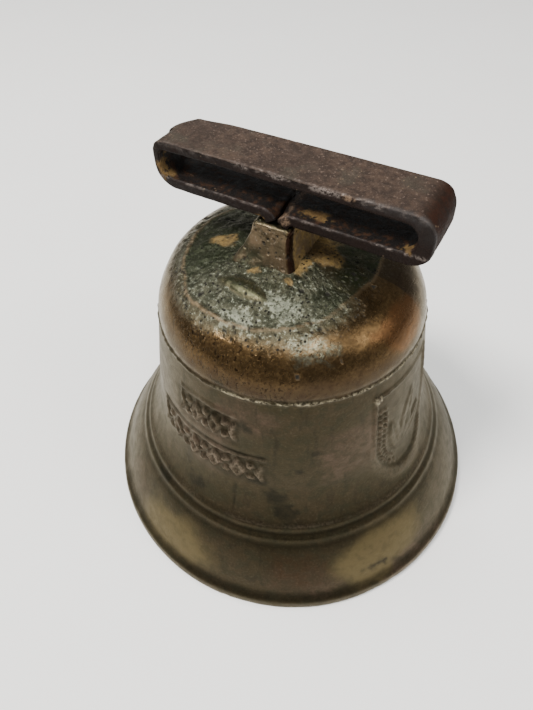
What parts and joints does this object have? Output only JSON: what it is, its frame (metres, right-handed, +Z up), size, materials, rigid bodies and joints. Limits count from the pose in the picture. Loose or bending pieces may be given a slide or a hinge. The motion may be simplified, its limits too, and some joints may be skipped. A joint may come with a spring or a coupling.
{
  "type": "animal collar bell",
  "caption": "Cast bronze collar bell with a flared sound bow, a flat forged iron strap loop on a cast lug, and an iron clapper on a shackle.",
  "frame": {"origin": "centre of the mouth, in the plane the bell stands on", "axes": "+Z up the bell's axis to the strap loop; X along the loop's long side; the collar strap runs through the loop along Y"},
  "size_m": [0.12, 0.12, 0.1098],
  "materials": {
    "bronze": "cast bronze with olive brown patina and verdigris on the crown",
    "forged_iron": "forged iron, dark brown oxide with rust and worn edges",
    "clapper_iron": "forged iron, dark oxide",
    "cast_drop": "sand cast iron, polished where it strikes"
  },
  "bodies": {
    "bell": {"bell_casting": "bronze", "strap_loop": "forged_iron", "shackle_pin": "clapper_iron", "shackle_roves": "clapper_iron"},
    "shackle": {"clapper_shackle": "clapper_iron"},
    "clapper": {"clapper_shank": "clapper_iron", "clapper_ball": "cast_drop", "clapper_rove": "clapper_iron"}
  },
  "joints": [
    {"name": "shackle_swing", "type": "hinge", "parent": "bell", "child": "shackle", "pos_m": [-0.0006, 0, 0.073], "axis": [1, 0, 0], "range_deg": [-28.5, 28.5]},
    {"name": "clapper_sway", "type": "hinge", "parent": "shackle", "child": "clapper", "pos_m": [-0.0006, 0, 0.0671], "axis": [0, 1, 0], "range_deg": [-7, 7]}
  ]
}
